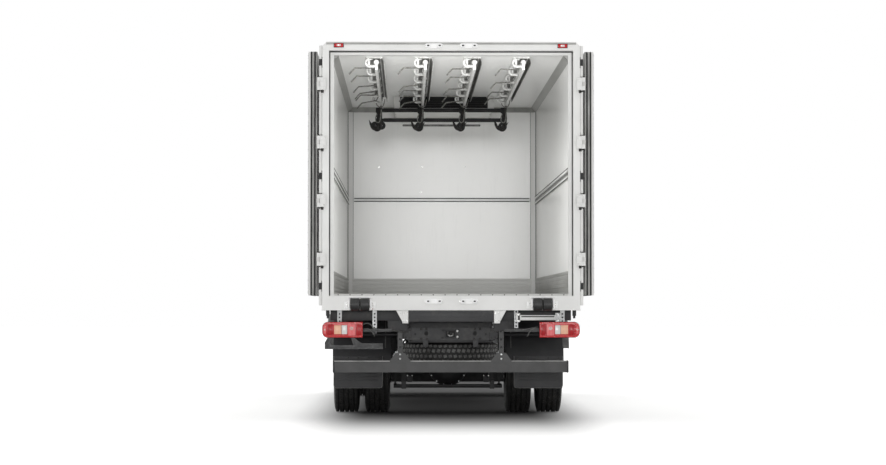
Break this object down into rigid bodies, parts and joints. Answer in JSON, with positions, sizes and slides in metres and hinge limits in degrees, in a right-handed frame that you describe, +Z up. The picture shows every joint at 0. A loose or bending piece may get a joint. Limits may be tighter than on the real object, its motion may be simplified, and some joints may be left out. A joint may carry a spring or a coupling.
{
  "type": "refrigerated truck",
  "caption": "Two-axle rigid truck with an insulated body, overhead meat rails, rear doors that fold right back and a tilting cab.",
  "frame": {"origin": "on the ground below the centre of the vehicle's bounding box", "axes": "+X to the vehicle's right, +Y forward, +Z up"},
  "size_m": [2.886, 9.2298, 3.8249],
  "materials": {
    "white_paint": "semi-gloss",
    "panel_white": "smooth fibreglass skin",
    "floor_grey": "chequered",
    "aluminium": "extruded",
    "galvanised": "galvanised",
    "bright_steel": "bright",
    "chassis_grey": "matt",
    "black_plastic": "moulded",
    "rubber": "matt",
    "tyre": "dusty",
    "rim_silver": "satin",
    "cast_dark": "rough",
    "glass": "clear",
    "lamp_red": "lens",
    "lamp_clear": "lens",
    "fabric": "woven"
  },
  "bodies": {
    "vehicle": {"air_tanks": "chassis_grey", "battery_box": "black_plastic", "body_subframe": "chassis_grey", "cab_steps": "black_plastic", "chassis_frame": "chassis_grey", "cove_profiles": "aluminium", "dock_rollers": "rubber", "draw_beam": "chassis_grey", "engine_block": "cast_dark", "evaporator": "aluminium", "front_axle": "cast_dark", "front_bumper": "white_paint", "front_lamps": "lamp_clear", "front_wall": "panel_white", "fuel_tank": "aluminium", "lamp_brackets": "galvanised", "leaf_springs": "cast_dark", "load_floor": "floor_grey", "meat_rails": "bright_steel", "mudguards": "black_plastic", "propeller_shaft": "cast_dark", "radiator": "cast_dark", "rear_axle": "cast_dark", "rear_frame": "white_paint", "rear_lamps": "lamp_red", "refrigeration_unit": "white_paint", "roof": "panel_white", "side_guards": "aluminium", "side_walls": "panel_white", "spare_wheel": "tyre", "underrun_guard": "chassis_grey", "wall_protection": "aluminium"},
    "rear_door_left_leaf": {"rear_door_left": "panel_white"},
    "rear_door_right_leaf": {"rear_door_right": "panel_white"},
    "cab": {"cab_floor": "white_paint", "cab_walls": "white_paint", "cab_roof": "white_paint", "cab_front": "white_paint", "grille": "black_plastic", "windscreen": "glass", "seats": "fabric", "dashboard": "black_plastic", "mirrors": "black_plastic"},
    "cab_door_left_leaf": {"cab_door_left": "white_paint", "door_glass_left": "glass"},
    "cab_door_right_leaf": {"cab_door_right": "white_paint", "door_glass_right": "glass"},
    "steering_wheel_body": {"steering_wheel": "black_plastic"},
    "knuckle_left_body": {"knuckle_left": "cast_dark"},
    "knuckle_right_body": {"knuckle_right": "cast_dark"},
    "tie_rod_body": {"tie_rod": "cast_dark"},
    "front_wheel_left": {"front_tyre_left": "tyre", "front_rim_left": "rim_silver"},
    "front_wheel_right": {"front_tyre_right": "tyre", "front_rim_right": "rim_silver"},
    "rear_wheels_left": {"rear_tyres_left": "tyre", "rear_rims_left": "rim_silver"},
    "rear_wheels_right": {"rear_tyres_right": "tyre", "rear_rims_right": "rim_silver"}
  },
  "joints": [
    {"name": "rear_door_left_hinge", "type": "hinge", "parent": "vehicle", "child": "rear_door_left_leaf", "pos_m": [-1.336, -4.51, 2.5], "axis": [0, 0, 1], "range_deg": [0, 270]},
    {"name": "rear_door_right_hinge", "type": "hinge", "parent": "vehicle", "child": "rear_door_right_leaf", "pos_m": [1.336, -4.51, 2.5], "axis": [0, 0, -1], "range_deg": [0, 270]},
    {"name": "cab_tilt", "type": "hinge", "parent": "vehicle", "child": "cab", "pos_m": [0, 4.455, 0.86], "axis": [-1, 0, 0], "range_deg": [0, 45]},
    {"name": "cab_door_left_hinge", "type": "hinge", "parent": "cab", "child": "cab_door_left_leaf", "pos_m": [-1.16, 4.419, 1.5], "axis": [0, 0, -1], "range_deg": [0, 70]},
    {"name": "cab_door_right_hinge", "type": "hinge", "parent": "cab", "child": "cab_door_right_leaf", "pos_m": [1.16, 4.419, 1.5], "axis": [0, 0, 1], "range_deg": [0, 70]},
    {"name": "steering_left", "type": "hinge", "parent": "vehicle", "child": "knuckle_left_body", "pos_m": [-0.83, 3.235, 0.5], "axis": [0, 0, 1], "range_deg": [-40, 40]},
    {"name": "steering_right", "type": "hinge", "parent": "vehicle", "child": "knuckle_right_body", "pos_m": [0.83, 3.235, 0.5], "axis": [0, 0, 1], "range_deg": [-40, 40]},
    {"name": "tie_rod_joint", "type": "hinge", "parent": "knuckle_left_body", "child": "tie_rod_body", "pos_m": [-0.83, 2.995, 0.4], "axis": [0, 0, 1], "range_deg": [-40, 40]},
    {"name": "steering_wheel_turn", "type": "hinge", "parent": "cab", "child": "steering_wheel_body", "pos_m": [-0.78, 3.995, 1.73], "axis": [0, -0.5736, 0.8192], "range_deg": [-540, 540]},
    {"name": "front_wheel_left_spin", "type": "hinge", "parent": "knuckle_left_body", "child": "front_wheel_left", "pos_m": [-1, 3.235, 0.506], "axis": [1, 0, 0], "continuous": true},
    {"name": "front_wheel_right_spin", "type": "hinge", "parent": "knuckle_right_body", "child": "front_wheel_right", "pos_m": [1, 3.235, 0.506], "axis": [1, 0, 0], "continuous": true},
    {"name": "rear_wheels_left_spin", "type": "hinge", "parent": "vehicle", "child": "rear_wheels_left", "pos_m": [-0.934, -2.065, 0.506], "axis": [1, 0, 0], "continuous": true},
    {"name": "rear_wheels_right_spin", "type": "hinge", "parent": "vehicle", "child": "rear_wheels_right", "pos_m": [0.934, -2.065, 0.506], "axis": [1, 0, 0], "continuous": true}
  ],
  "couplings": [
    {"joint": "steering_right", "follows": "steering_left", "ratio": 1},
    {"joint": "tie_rod_joint", "follows": "steering_left", "ratio": -1},
    {"joint": "steering_wheel_turn", "follows": "steering_left", "ratio": 13.5}
  ]
}
